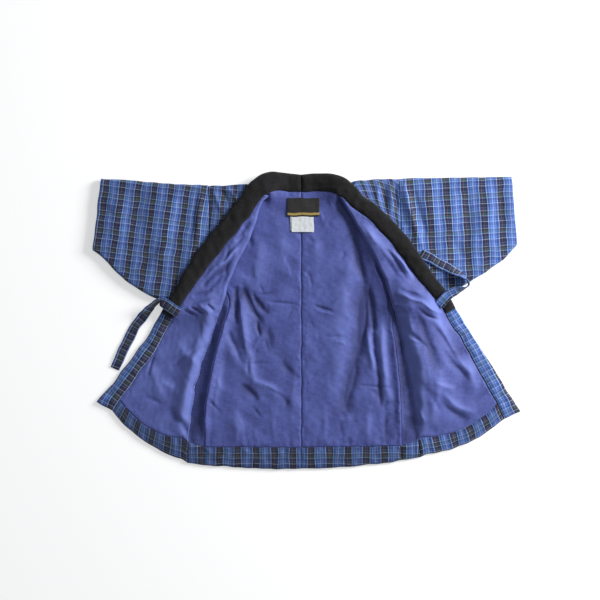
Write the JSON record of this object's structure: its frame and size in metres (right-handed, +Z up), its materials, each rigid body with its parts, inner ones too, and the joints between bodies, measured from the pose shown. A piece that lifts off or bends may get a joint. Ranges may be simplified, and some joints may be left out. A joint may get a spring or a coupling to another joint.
{
  "type": "hanten, a child's short padded coat",
  "caption": "Child's padded hanten laid open on its back, fronts turned out to show the lining, with a black collar band, checked outer cloth and short ties.",
  "frame": {"origin": "on the surface that it lies on, under the middle of the whole garment", "axes": "+X from the wearer's right sleeve to the left sleeve, +Y from the hem to the neck, +Z up from the surface"},
  "size_m": [0.7686, 0.5344, 0.0327],
  "materials": {
    "checked_cotton": "matt woven cotton, blue and black check with thin pale and ochre lines",
    "lining_cotton": "matt plain cotton, indigo",
    "collar_cotton": "matt black cotton with a short nap",
    "label_black": "woven satin, black with a gold line",
    "label_white": "smooth white tape"
  },
  "bodies": {
    "root": {"back_right": "lining_cotton", "back_left": "lining_cotton", "gusset_right": "lining_cotton", "gusset_left": "lining_cotton", "front_right": "lining_cotton", "front_left": "lining_cotton", "sleeve_right": "checked_cotton", "sleeve_left": "checked_cotton", "collar_right": "collar_cotton", "collar_left": "collar_cotton", "front_edge_right": "checked_cotton", "front_edge_left": "checked_cotton", "hem_back_right": "checked_cotton", "hem_back_left": "checked_cotton", "hem_gusset_right": "checked_cotton", "hem_gusset_left": "checked_cotton", "hem_front_right": "checked_cotton", "hem_front_left": "checked_cotton", "tie_right": "checked_cotton", "tie_left": "checked_cotton", "neck_label": "label_black", "care_label": "label_white", "care_label_back": "label_white"}
  },
  "joints": []
}
